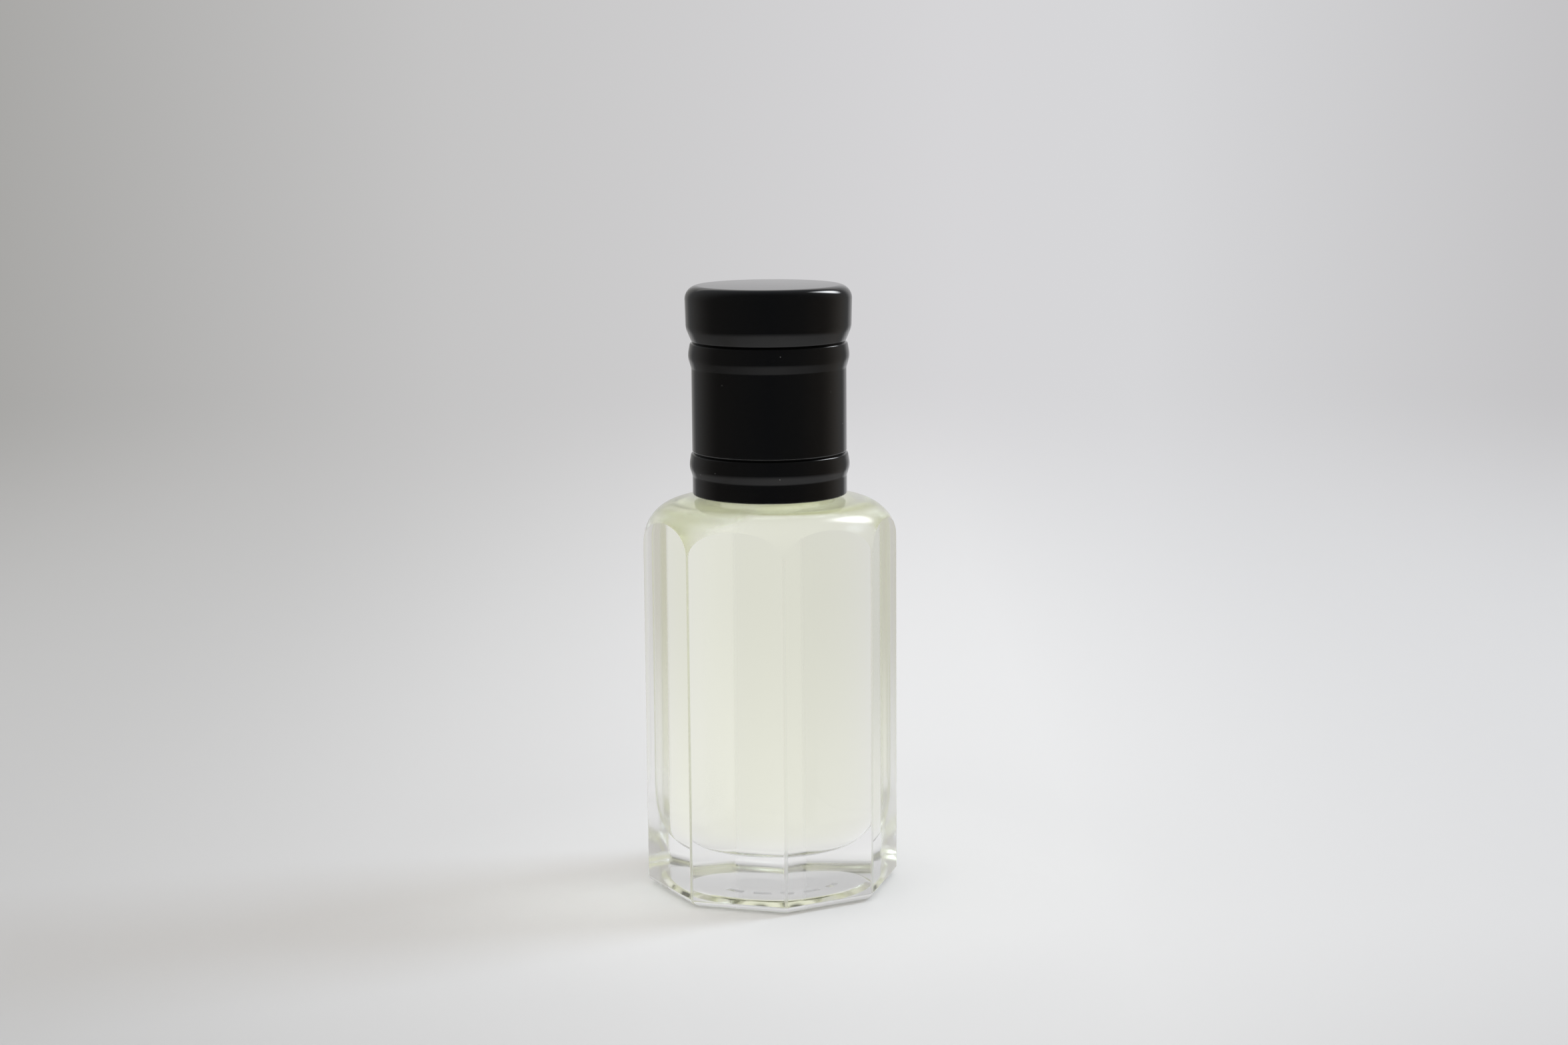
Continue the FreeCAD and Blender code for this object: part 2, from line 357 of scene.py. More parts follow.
def blackLinerFinish():
    look = linerLook
    finish = newFinish("blackLiner")
    grain = finish.noise(look["grainPerMillimetre"])
    return finish.surface(finish.node("ShaderNodeBsdfPrincipled", None, {
        "Base Color": finish.blend(grain, look["dark"], look["light"]),
        "Roughness": look["roughness"] + grain * look["grainRoughness"],
        "Normal": finish.bump(grain, look["grainHeight"]),
    }))


plasticLook = {
    "dark": (0.80, 0.82, 0.80, 1), "light": (0.90, 0.91, 0.89, 1), "ior": 1.5, "transmission": 0.25,
    "cloudPerMillimetre": 0.8, "roughness": 0.28, "cloudRoughness": 0.15,
    "grainPerMillimetre": 4, "grainDetail": 2, "grainHeight": 0.004,
}


def milkyPlasticFinish():
    look = plasticLook
    finish = newFinish("milkyPlastic")
    cloud = finish.noise(look["cloudPerMillimetre"])
    grain = finish.noise(look["grainPerMillimetre"], look["grainDetail"])
    return finish.surface(finish.node("ShaderNodeBsdfPrincipled", None, {
        "Base Color": finish.blend(cloud, look["dark"], look["light"]),
        "Roughness": look["roughness"] + cloud * look["cloudRoughness"],
        "IOR": look["ior"], "Transmission Weight": look["transmission"],
        "Normal": finish.bump(grain, look["grainHeight"]),
    }))


steelLook = {
    "dark": (0.66, 0.66, 0.67, 1), "light": (0.75, 0.75, 0.76, 1),
    "rubPerMillimetre": 3, "rubDetail": 5, "roughness": 0.05, "rubRoughness": 0.06,
}


def polishedSteelFinish():
    look = steelLook
    finish = newFinish("polishedSteel")
    rub = finish.noise(look["rubPerMillimetre"], look["rubDetail"])
    return finish.surface(finish.node("ShaderNodeBsdfPrincipled", None, {
        "Base Color": finish.blend(rub, look["dark"], look["light"]), "Metallic": 1,
        "Roughness": look["roughness"] + rub * look["rubRoughness"],
    }))


foamLook = {
    "dark": (0.86, 0.86, 0.83, 1), "light": (0.93, 0.93, 0.91, 1),
    "cellsPerMillimetre": 6, "cellHeight": 0.03, "roughness": 0.7, "cellRoughness": 0.2,
}


def whiteFoamFinish():
    look = foamLook
    finish = newFinish("whiteFoam")
    cells = finish.voronoi(look["cellsPerMillimetre"], "Distance")
    return finish.surface(finish.node("ShaderNodeBsdfPrincipled", None, {
        "Base Color": finish.blend(cells, look["dark"], look["light"]),
        "Roughness": look["roughness"] + cells * look["cellRoughness"],
        "Normal": finish.bump(cells, look["cellHeight"]),
    }))


# Glass bottle

glassHigh = span("glass_bottle")[1]
fillTop = span("aftershave_fill")[1].z

glassSizes = {
    "sides": 8, "apothem": glassHigh.x, "rimHeight": glassHigh.z, "cornerTrim": 0.06,
    "shoulderHeight": 40.4, "shoulderRise": 0.8, "shoulderRound": 4.5,
    "heelRound": 1.3, "heelStart": 20, "heelRings": 8,
    "wall": 2.65, "baseThickness": 4.65, "cavityFootRound": 4.5,
    "shoulderWall": 1.4, "cavityShoulderRound": 3.6, "cavityNeckRound": 0.9,
    "neckRadius": 5.35, "neckWall": 1.25, "neckFootRound": 0.6, "neckLipRound": 0.35,
    "pushUpRadius": 8.6, "rimRun": 0.9, "rimRise": 0.5, "rimRound": 1.5,
    "pushUpFlat": 2.6, "pushUpDepth": 0.8, "pushUpRound": 30,
    "markCount": 4, "markRadius": 4.8, "markStep": 36, "markBearing": -59,
    "markWidth": 0.8, "markLength": 2.0, "markHeight": 0.3,
    "steps": 192, "arcStep": 6, "baseArcStep": 4, "sharpAngle": 14,
}
threadSizes = {
    "pitch": 2.1, "depth": 0.65, "rootHalf": 0.504, "crestHalf": 0.252, "bury": 0.15, "endRun": 1.6,
    "neckTurns": 1.75, "neckDrop": 2.7, "capTurns": 2.0, "capLeadIn": 1.2, "radialGap": 0.12, "play": 0.1,
    "stepsPerTurn": 96,
}
boreRadius = glassSizes["neckRadius"] - glassSizes["neckWall"]
cavityRadius = glassSizes["apothem"] - glassSizes["wall"]
blankRadius = glassSizes["apothem"] / math.cos(math.pi / glassSizes["sides"]) - glassSizes["cornerTrim"]
heelTop = glassSizes["heelRound"] * (1 - math.sin(math.radians(glassSizes["heelStart"])))
neckThreadRun = threadSizes["neckTurns"] * threadSizes["pitch"]
neckThreadFoot = glassSizes["rimHeight"] - threadSizes["neckDrop"] - neckThreadRun


def cavityCorners(gap, top):             # inside of the glass, from the mouth to the middle of the floor
    size = glassSizes
    ceiling = size["shoulderHeight"] - size["shoulderWall"]
    return [
        (boreRadius - gap, top),
        (boreRadius - gap, ceiling + size["shoulderRise"] - gap, size["cavityNeckRound"]),
        (cavityRadius - gap, ceiling - gap, size["cavityShoulderRound"]),
        (cavityRadius - gap, size["baseThickness"] + gap, size["cavityFootRound"]),
        (0, size["baseThickness"] + gap),
    ]


def threadRidge(name, root, crest, footHeight, turns, startAngle):   # a helical ridge with sloped ends
    size = threadSizes
    outward = 1 if crest > root else -1
    slope = (size["rootHalf"] - size["crestHalf"]) / size["depth"]
    buried, buriedHalf = root - outward * size["bury"], size["rootHalf"] + slope * size["bury"]
    section = [
        Vector((buried, -buriedHalf)), Vector((crest, -size["crestHalf"])),
        Vector((crest, size["crestHalf"])), Vector((buried, buriedHalf)), Vector((buried, -buriedHalf)),
    ]
    ridge = startPoint(name, section[0])
    drawOn(section)
    closeUp()
    steps = round(size["stepsPerTurn"] * turns)
    applyModifier(ridge, "SCREW", axis="Z", angle=fullTurn * turns, screw_offset=size["pitch"] * turns * mm,
                  steps=steps, render_steps=steps)
    for vert in ridge.data.vertices:     # slopes both ends down to the root
        radius = vert.co.xy.length / mm
        lapShare = math.atan2(vert.co.y, vert.co.x) / fullTurn
        laps = round(vert.co.z / mm / size["pitch"] - lapShare) + lapShare
        fromEnd = min(laps, turns - laps) * fullTurn * root
        height = min(1, max(0, fromEnd / size["endRun"]))
        if (radius - root) * outward > 0:
            vert.co.xy *= (root + (radius - root) * height) / radius
    editOnly(ridge)
    bpy.ops.mesh.select_all(action="SELECT")
    bpy.ops.mesh.fill_holes(sides=4)
    bpy.ops.mesh.normals_make_consistent(inside=False)
    bpy.ops.transform.rotate(value=-startAngle, orient_axis="Z", center_override=(0, 0, 0))
    bpy.ops.transform.translate(value=(0, 0, footHeight * mm))
    cleanSlate()
    return ridge


def cutBase(piece):                      # rounded heel, push-up and its ring of dashes
    size = glassSizes
    pick(piece, "faces", lambda face: face.normal.z < -levelNormal and place(face)[1] < heelTop + slack)
    bpy.ops.mesh.delete(type="FACE")
    pick(piece, "edges", lambda edge: len(edge.link_faces) == 1)
    width, height = size["apothem"], heelTop
    for k in range(1, size["heelRings"] + 1):
        turn = math.radians(size["heelStart"] + (90 - size["heelStart"]) * k / size["heelRings"])
        inset = size["heelRound"] * (math.cos(math.radians(size["heelStart"])) - math.cos(turn))
        nextHeight = size["heelRound"] * (1 - math.sin(turn))
        ringTo(height - nextHeight, (size["apothem"] - inset) / width)
        width, height = size["apothem"] - inset, nextHeight
    ringTo(0, 1)
    bpy.ops.transform.tosphere(value=1)
    drawIn = size["pushUpRadius"] / meanRadius(piece)
    bpy.ops.transform.resize(value=(drawIn, drawIn, 1), center_override=(0, 0, 0))
    rimRadius = size["pushUpRadius"] - size["rimRun"]
    slope = (size["pushUpDepth"] - size["rimRise"]) / (rimRadius - size["pushUpFlat"])
    markEdges = [size["markRadius"] + size["markWidth"] / 2, size["markRadius"] - size["markWidth"] / 2]
    dome = roundOff([
        (size["pushUpRadius"], 0),
        (rimRadius, size["rimRise"], size["rimRound"]),
        *[(radius, size["rimRise"] + slope * (rimRadius - radius)) for radius in markEdges],
        (size["pushUpFlat"], size["pushUpDepth"], size["pushUpRound"]),
        (0, size["pushUpDepth"]),
    ], size["baseArcStep"])
    for here, there in zip(dome, dome[1:-1]):
        ringTo(here.y - there.y, there.x / here.x)
    bpy.ops.mesh.extrude_region_move()
    bpy.ops.mesh.merge(type="CENTER")
    closeUp()
    markHalf = math.degrees(size["markLength"] / 2 / size["markRadius"])
    firstMark = size["markBearing"] - size["markStep"] * (size["markCount"] - 1) / 2

    def onMark(face):
        radius, height, angle = place(face)
        onRing = abs(radius - size["markRadius"]) < size["markWidth"] / 4
        underBase = height < 2 * size["pushUpDepth"]
        marks = [firstMark + size["markStep"] * k for k in range(size["markCount"])]
        return onRing and underBase and any(abs(angle - mark) < markHalf for mark in marks)
    pick(piece, "faces", onMark)
    bpy.ops.mesh.extrude_region_move(TRANSFORM_OT_translate={"value": (0, 0, -size["markHeight"] * mm)})


def makeGlass():
    size = glassSizes
    inside = cavityCorners(0, size["rimHeight"])
    piece = lathe("glassBody", [
        (0, heelTop),
        (blankRadius, heelTop),
        (blankRadius, size["shoulderHeight"], size["shoulderRound"]),
        (size["neckRadius"], size["shoulderHeight"] + size["shoulderRise"], size["neckFootRound"]),
        (size["neckRadius"], size["rimHeight"], size["neckLipRound"]),
        (*inside[0], size["neckLipRound"]),
        (boreRadius, fillTop),
        *inside[1:],
    ], size["steps"], size["arcStep"])
    for k in range(size["sides"]):       # eight flats
        turn = fullTurn * k / size["sides"]
        facing = Vector((math.cos(turn), math.sin(turn), 0))
        bpy.ops.mesh.select_all(action="SELECT")
        bpy.ops.mesh.bisect(plane_co=facing * size["apothem"] * mm, plane_no=facing, use_fill=True,
                            clear_outer=True, threshold=hairline)
    cutBase(piece)
    ridge = threadRidge("neckThread", size["neckRadius"], size["neckRadius"] + threadSizes["depth"],
                        neckThreadFoot, threadSizes["neckTurns"], 0)
    joinOn(piece, ridge)
    look = glassLook
    finishPiece(piece, "glass_bottle", "bottle", "clear_glass", size["sharpAngle"],
                clearFinish("clearGlass", look["glassIor"]),
                clearFinish("wettedGlass", look["glassIor"] / look["liquidIor"]))
    ceiling = size["shoulderHeight"] - size["shoulderWall"] + size["shoulderRise"]

    def wet(face):                       # inner wall below the liquid's surface
        radius, height, _ = place(face)
        inCavity = radius < cavityRadius + slack and size["baseThickness"] - slack < height < ceiling + slack
        inNeck = radius < boreRadius + slack and ceiling - slack < height < fillTop
        return inCavity or inNeck
    useFinish(piece, 1, wet)


makeGlass()


# Liquid

fillSizes = {
    "gap": 0.03, "meniscus": 0.35, "meniscusReach": 0.7, "meniscusRings": 8, "surfaceTilt": 0.1,
    "steps": 128, "arcStep": 6, "sharpAngle": 30,
}


def makeLiquid():
    size = fillSizes
    wallRadius = boreRadius - size["gap"]
    surface = []
    for k in range(size["meniscusRings"]):
        away = wallRadius * (1 - (k / size["meniscusRings"]) ** 0.5)
        fall = size["meniscus"] * (1 - math.exp(-away / size["meniscusReach"]))
        surface.append((wallRadius - away, fillTop - fall))
    corners = surface + cavityCorners(size["gap"], fillTop)
    piece = lathe("aftershaveLiquid", corners, size["steps"], size["arcStep"])
    finishPiece(piece, "aftershave_fill", "bottle", "aftershave_liquid", size["sharpAngle"],
                liquidFinish(), clearFinish("liquidSurface", glassLook["liquidIor"]))
    lowest = fillTop - size["meniscus"] - slack
    useFinish(piece, 1, lambda face: place(face)[1] > lowest and face.normal.z > size["surfaceTilt"])


makeLiquid()


# Roller housing and ball

ballLow, ballHigh = span("roller_ball")
ballMiddle, ballRadius = (ballLow.z + ballHigh.z) / 2, (ballHigh.z - ballLow.z) / 2
housingLow, housingHigh = span("roller_housing")

housingSizes = {
    "plugFoot": housingLow.z, "lipHeight": housingHigh.z, "flangeRadius": housingHigh.x,
    "plugFit": 0.05, "bite": 0.03, "wall": 0.6, "ringCount": 3, "ringHeight": 0.7,
    "flangeThickness": 0.9, "flangeRound": 0.2, "cupWall": 0.45, "cupFoot": 0.35,
    "ballClearance": 0.05, "feedRadius": 1.5, "seatThickness": 0.8, "socketRings": 16,
    "ringRound": 0.1, "plateRound": 0.15, "steps": 128, "sharpAngle": 28,
}


def makeHousing():
    size = housingSizes
    rim = glassSizes["rimHeight"]
    plugRadius = boreRadius - size["plugFit"]
    hollow = plugRadius - size["wall"]
    socket = ballRadius + size["ballClearance"]
    lipInner = math.sqrt(socket ** 2 - (size["lipHeight"] - ballMiddle) ** 2)
    seat = ballMiddle - math.sqrt(socket ** 2 - size["feedRadius"] ** 2)
    corners = [
        (hollow, size["plugFoot"]),
        (plugRadius - size["plugFit"], size["plugFoot"], size["ringRound"]),
    ]
    ringStep = (rim - size["plugFoot"]) / (size["ringCount"] + 1)
    for k in range(size["ringCount"]):
        ring = size["plugFoot"] + (k + 1) * ringStep
        corners += [
            (plugRadius, ring - size["ringHeight"] / 2),
            (boreRadius + size["bite"], ring, size["ringRound"]),
            (plugRadius, ring + size["ringHeight"] / 2),
        ]
    flangeTop = rim + size["flangeThickness"]
    corners += [
        (plugRadius, rim),
        (size["flangeRadius"], rim, size["flangeRound"]),
        (size["flangeRadius"], flangeTop, size["flangeRound"]),
        (plugRadius + size["cupFoot"], flangeTop, size["flangeRound"]),
        (lipInner + size["cupWall"], size["lipHeight"], size["flangeRound"]),
    ]
    top = math.asin((size["lipHeight"] - ballMiddle) / socket)
    bottom = math.asin((seat - ballMiddle) / socket)
    for k in range(size["socketRings"] + 1):
        turn = top + (bottom - top) * k / size["socketRings"]
        corners.append((socket * math.cos(turn), ballMiddle + socket * math.sin(turn)))
    plateFoot = seat - size["seatThickness"]
    corners += [
        (size["feedRadius"], plateFoot, size["plateRound"]),
        (hollow, plateFoot, size["plateRound"]),
        corners[0],
    ]
    piece = lathe("rollerHousing", corners, size["steps"])
    finishPiece(piece, "roller_housing", "bottle", "natural_plastic", size["sharpAngle"],
                milkyPlasticFinish())


ballSizes = {"cuts": 31, "sharpAngle": 60}


def makeBall():
    cleanSlate()
    bpy.ops.mesh.primitive_cube_add(size=ballRadius * mm)
    piece = bpy.context.object
    piece.name = piece.data.name = "rollerBall"
    bpy.ops.object.mode_set(mode="EDIT")
    bpy.ops.mesh.subdivide(number_cuts=ballSizes["cuts"])
    bpy.ops.transform.tosphere(value=1)
    mesh = bmesh.from_edit_mesh(piece.data)
    swell = ballRadius * mm / max(vert.co.length for vert in mesh.verts)
    bpy.ops.transform.resize(value=(swell, swell, swell))
    bpy.ops.transform.translate(value=(0, 0, ballMiddle * mm))
    finishPiece(piece, "roller_ball", "ball", "polished_steel", ballSizes["sharpAngle"],
                polishedSteelFinish())


makeHousing()
makeBall()


# Seal disc

discLow, discHigh = span("seal_disc")
discSizes = {"edgeRound": 0.15, "pressRadius": 1.3, "pressDepth": 0.08, "steps": 128, "sharpAngle": 30}


def makeDisc():
    size = discSizes
    piece = lathe("sealDisc", [
        (0, discHigh.z),
        (discHigh.x, discHigh.z, size["edgeRound"]),
        (discHigh.x, discLow.z, size["edgeRound"]),
        (size["pressRadius"], discLow.z, size["edgeRound"]),
        (size["pressRadius"] / 2, discLow.z + size["pressDepth"], size["edgeRound"]),
        (0, discLow.z + size["pressDepth"]),
    ], size["steps"])
    finishPiece(piece, "seal_disc", "seal", "white_foam", size["sharpAngle"], whiteFoamFinish())


makeDisc()


# Cap: threaded insert and gloss shell

insertLow, insertHigh = span("cap_insert")
shellLow, shellHigh = span("cap_shell")

insertSizes = {
    "foot": insertLow.z, "top": insertHigh.z, "wall": 0.7, "topChamfer": 0.5, "mouthChamfer": 0.3,
    "discClearance": 0.05, "keeper": 0.26, "keeperHeight": 0.5, "discGap": 0.06, "webThickness": 1.0,
    "ribCount": 12, "ribFaces": 2, "ribMargin": 1.5, "ribHeight": 0.06, "webRound": 0.2, "keeperRound": 0.08,
    "steps": 180, "sharpAngle": 30,
}


def makeInsert():
    size = insertSizes
    bore = glassSizes["neckRadius"] + threadSizes["depth"] + threadSizes["radialGap"]
    outer = bore + size["wall"]
    web = discHigh.z + size["discClearance"]
    keeperTop = discLow.z - size["discClearance"]
    piece = lathe("capInsert", [
        (0, web + size["webThickness"]),
        (bore, web + size["webThickness"], size["webRound"]),
        (bore, size["top"]),
        (outer - size["topChamfer"], size["top"]),
        (outer, size["top"] - size["topChamfer"]),
        (outer, size["top"] - size["ribMargin"]),
        (outer, size["foot"] + size["ribMargin"]),
        (outer, size["foot"]),
        (bore + size["mouthChamfer"], size["foot"]),
        (bore, size["foot"] + size["mouthChamfer"]),
        (bore, keeperTop - size["keeperHeight"]),
        (bore - size["discGap"] - size["keeper"], keeperTop - size["keeperHeight"] / 2, size["keeperRound"]),
        (bore, keeperTop),
        (bore, web),
        (0, web),
    ], size["steps"])
    ribStep = 360 / size["ribCount"]
    ribHalf = size["ribFaces"] / 2 * 360 / size["steps"]
    middle = (size["top"] + size["foot"]) / 2

    def onRib(face):
        radius, height, angle = place(face)
        offRib = abs((angle + ribStep / 2) % ribStep - ribStep / 2)
        return radius > outer - slack and abs(height - middle) < slack and offRib < ribHalf
    pick(piece, "faces", onRib)
    bpy.ops.mesh.extrude_region_shrink_fatten(TRANSFORM_OT_shrink_fatten={"value": size["ribHeight"] * mm})
    slope = (threadSizes["rootHalf"] - threadSizes["crestHalf"]) / threadSizes["depth"]
    flankOffset = (threadSizes["rootHalf"] + threadSizes["crestHalf"] - slope * threadSizes["radialGap"]
                   + threadSizes["play"])
    foot = size["foot"] + threadSizes["capLeadIn"]
    startAngle = fullTurn * (foot - neckThreadFoot + flankOffset) / threadSizes["pitch"]
    ridge = threadRidge("capThread", bore, glassSizes["neckRadius"] + threadSizes["radialGap"], foot,
                        threadSizes["capTurns"], startAngle)
    joinOn(piece, ridge)
    finishPiece(piece, "cap_insert", "cap", "black_liner", size["sharpAngle"], blackLinerFinish())


shellSizes = {
    "foot": shellLow.z, "top": shellHigh.z, "wall": 1.15, "fit": 0.03, "topChamfer": 0.5, "skirtRound": 0.15,
    "headRadius": shellHigh.x, "headDraft": 0.1, "headRound": 1.4, "headFootRound": 2.0,
    "headFoot": 4.35, "grooveDrop": 5.62,
    "upperBead": {"drop": 5.82, "height": 0.3, "crown": 1.09, "face": 0.55, "fall": 1.03},
    "lowerBead": {"lift": 4.32, "height": 0.28, "crown": 0.99, "face": 0.57, "fall": 0.84},
    "lip": 0.12, "beadRound": 3.0, "beadFootRound": 0.8, "guard": 0.6,   # guard keeps a round off the barrel
    "steps": 256, "arcStep": 4, "sharpAngle": 14,
}


def beadCorners(barrel, top, bead):      # one raised bead, from above to below
    size = shellSizes
    crest = top - bead["crown"]
    return [
        (barrel - size["lip"], top),
        (barrel + size["lip"], top - size["lip"], size["beadRound"]),
        (barrel + bead["height"], crest, size["beadRound"]),
        (barrel + bead["height"], crest - bead["face"], size["beadRound"]),
        (barrel, crest - bead["face"] - bead["fall"], size["beadFootRound"]),
    ]


def makeShell():
    size = shellSizes
    insertBore = glassSizes["neckRadius"] + threadSizes["depth"] + threadSizes["radialGap"]
    bore = insertBore + insertSizes["wall"] + size["fit"]
    barrel = bore + size["wall"]
    upper = beadCorners(barrel, size["top"] - size["upperBead"]["drop"], size["upperBead"])
    lower = beadCorners(barrel, size["foot"] + size["lowerBead"]["lift"], size["lowerBead"])
    piece = lathe("capShell", [
        (0, size["top"]),
        (size["headRadius"], size["top"], size["headRound"]),
        (size["headRadius"] - size["headDraft"], size["top"] - size["headFoot"], size["headFootRound"]),
        (barrel, size["top"] - size["grooveDrop"], size["beadFootRound"]),
        *upper,
        (barrel, upper[-1][1] - size["guard"]),
        (barrel, lower[0][1] + 2 * size["lip"] + size["guard"]),
        (barrel, lower[0][1] + 2 * size["lip"]),
        *lower,
        (barrel, size["foot"], size["skirtRound"]),
        (bore, size["foot"], size["skirtRound"]),
        (bore, insertSizes["top"] - size["topChamfer"]),
        (bore - size["topChamfer"], insertSizes["top"]),
        (0, insertSizes["top"]),
    ], size["steps"], size["arcStep"])
    finishPiece(piece, "cap_shell", "cap", "gloss_black", size["sharpAngle"], glossBlackFinish())


makeInsert()
makeShell()


# Camera at the photograph's view, fitted on a frame 2352 pixels wide

cameraFit = {
    "imageWidth": 2352, "focalPixels": 4000, "sensorWidth": 36,
    "azimuth": 16.86, "distance": 273.2, "height": 83.9, "pitch": 9.48, "yaw": 0.30, "roll": -0.45,
    "nearest": 10,                       # anything closer isn't drawn
}


def placeCamera():
    fit = cameraFit
    pitch, yaw, roll = (math.radians(fit[key]) for key in ("pitch", "yaw", "roll"))
    ahead = Vector((math.sin(yaw) * math.cos(pitch), math.cos(yaw) * math.cos(pitch), -math.sin(pitch)))
    flatRight = Vector((math.cos(yaw), -math.sin(yaw), 0))
    flatUp = flatRight.cross(ahead)
    right = math.cos(roll) * flatRight + math.sin(roll) * flatUp
    up = math.cos(roll) * flatUp - math.sin(roll) * flatRight
    turned = Matrix.Rotation(math.radians(fit["azimuth"]), 4, "Z")
    stand = Matrix.Translation(Vector((0, -fit["distance"], fit["height"])) * mm)
    axes = Matrix((right, up, -ahead)).transposed().to_4x4()
    cleanSlate()
    bpy.ops.object.camera_add()
    camera = bpy.context.object
    camera.name = "photoCamera"
    camera.data.sensor_width = fit["sensorWidth"]
    camera.data.lens = fit["sensorWidth"] * fit["focalPixels"] / fit["imageWidth"]
    camera.data.clip_start = fit["nearest"] * mm
    camera.matrix_world = turned @ stand @ axes
    bpy.context.scene.camera = camera
    return turned


viewTurn = placeCamera()
print("camera set")


# Floor, light and backdrop. Places in the look are in metres: right of the view, away from the camera, up

stageSizes = {"floorRadius": 2200, "wallRound": 900, "wallHeight": 1100, "airGap": 0.05, "steps": 96}
lightLook = {
    "floorLightAndShadeStops": [                      # across the floor, left to right; painted light and shade: lighter round the bottle, darker towards both sides, most to the left
        (0.0, (0.68, 0.68, 0.68, 1)), (0.2, (0.80, 0.80, 0.80, 1)), (0.42, (0.90, 0.90, 0.90, 1)),
        (0.58, (0.935, 0.935, 0.935, 1)), (0.75, (0.93, 0.93, 0.93, 1)), (1.0, (0.81, 0.81, 0.815, 1)),
    ],
    "floorSpan": 0.1,                    # metres to each side
    "frontFrom": 0.01, "frontTo": 0.07,  # towards the camera, where painted shade makes the floor's colour dimmer
    "frontPaintedShade": 0.1,
    "paintedPool": 0.07, "paintedPoolColour": (1, 0.99, 0.96, 1),          # painted pool of light: the floor glows round the glass's foot, standing in for light the glass gathers
    "paintedPoolFrom": 0.01, "paintedPoolTo": 0.045,
    "backdropFar": 0.5,                  # from the bottle, where the floor has become backdrop
    "backdropStops": [                   # across the view, left to right; painted shade: the backdrop glows darker towards both sides
        (0.36, (0.39, 0.385, 0.375, 1)), (0.44, (0.56, 0.555, 0.555, 1)), (0.535, (0.675, 0.67, 0.685, 1)),
        (0.57, (0.675, 0.675, 0.69, 1)), (0.64, (0.56, 0.555, 0.565, 1)),
    ],
    "plainBackdrop": (0.62, 0.62, 0.625, 1),                 # on the camera's side of the bottle
    "plainFrom": 0.1, "plainTo": 0.25,
    "skyColour": (1.0, 0.975, 0.945, 1), "skyFill": 0.84,
    "glassStops": [                      # what shows through the glass, left to right of the bottle
        (0.2, (0.75, 0.75, 0.75, 1)), (0.35, (0.79, 0.79, 0.79, 1)), (0.5, (0.81, 0.81, 0.81, 1)),
        (0.7, (0.87, 0.87, 0.87, 1)), (0.93, (0.82, 0.82, 0.82, 1)),
    ],
    "glassLevels": [                     # and from the floor up to overhead
        (0.0, (1, 1, 1, 1)), (0.2, (0.78, 0.78, 0.78, 1)), (0.6, (0.74, 0.74, 0.74, 1)), (0.9, (1, 1, 1, 1)),
    ],
    "glassReachShadow": [                      # and from under the bottle out over the floor: painted shadow, darker under and round the bottle, a little dimmer far out
        (0.0, (0.55, 0.55, 0.55, 1)), (0.04, (0.6, 0.6, 0.6, 1)), (0.08, (0.98, 0.98, 0.98, 1)),
        (0.3, (0.98, 0.98, 0.98, 1)), (0.8, (0.93, 0.93, 0.93, 1)),
    ],
    "reachSpan": 0.2,                    # metres that these stops cover
    "frontGlass": (0.64, 0.625, 0.59, 1),                    # and towards the camera, where it is dimmer
    "frontEdge": 0.3, "frontFull": 0.75,
    "roomStops": [                       # what gloss sees beside and behind the camera, left to right
        (0.0, (0.11, 0.105, 0.10, 1)), (0.14, (0.10, 0.10, 0.10, 1)), (0.5, (0.078, 0.083, 0.092, 1)),
        (0.86, (0.10, 0.10, 0.10, 1)), (1.0, (0.15, 0.135, 0.12, 1)),
    ],
    "roomFrom": 0.03, "roomTo": 0.14,    # from the bottle, floor to room
    "roomEdge": -0.9, "roomFull": -0.74,
    "roomLift": 1.5, "liftFrom": 0.2, "liftFull": -0.6,      # lighter towards the back
    "window": {
        "radiance": 10.5, "wide": 0.28, "high": 0.24,
        "place": (0.67, 0.22, 0.56), "colour": (0.78, 0.9, 1.05),
    },
    "glint": {
        "radiance": 13, "wide": 0.34, "high": 0.6,
        "place": (0.467, 0.453, 0.62), "colour": (0.94, 0.97, 1),
        "middle": (0.5, 0.5, 0), "fadeFrom": 0.05, "fadeTo": 0.5,        # shares of the panel
    },
    "bounces": {"max_bounces": 128, "transmission_bounces": 128, "glossy_bounces": 64},
}
viewRight = viewTurn @ Vector((1, 0, 0))
viewFront = viewTurn @ Vector((0, -1, 0))
standPoint = viewFront * cameraFit["distance"] * mm


def along(finish, vector, direction):    # how far a place lies along a direction
    return finish.vectorMaths("DOT_PRODUCT", "Value", vector, direction)


def across(finish, heading):             # 0 to the left of the view, 1 to the right
    return along(finish, heading, viewRight) * 0.5 + 0.5


def ray(finish, fact):                   # what is known of the ray that meets the surface
    return finish.node("ShaderNodeLightPath", output=fact)


def seenThrough(finish):                 # 1 for what the camera sees through the glass
    return ray(finish, "Is Transmission Ray") * (ray(finish, "Diffuse Depth") < 1)


def seenInGloss(finish):                 # 1 for mirror images, 0 for what shows through the glass
    return ray(finish, "Is Glossy Ray") * (1 - ray(finish, "Is Transmission Ray"))


def mixed(finish, share, first, second):
    return finish.node("ShaderNodeMixShader", None, {0: share, 1: first, 2: second})


def glow(finish, colour, level=1):       # light that a wall or the sky shows, as it is written
    kind = "ShaderNodeBackground" if isinstance(finish.owner, bpy.types.World) else "ShaderNodeEmission"
    return finish.node(kind, None, {"Color": colour, "Strength": level})


def shade(finish, stops, share):         # the tone at a share of the way along the stops
    return finish.node("ShaderNodeValToRGB", {"stops": lightLook[stops]}, {"Fac": share})


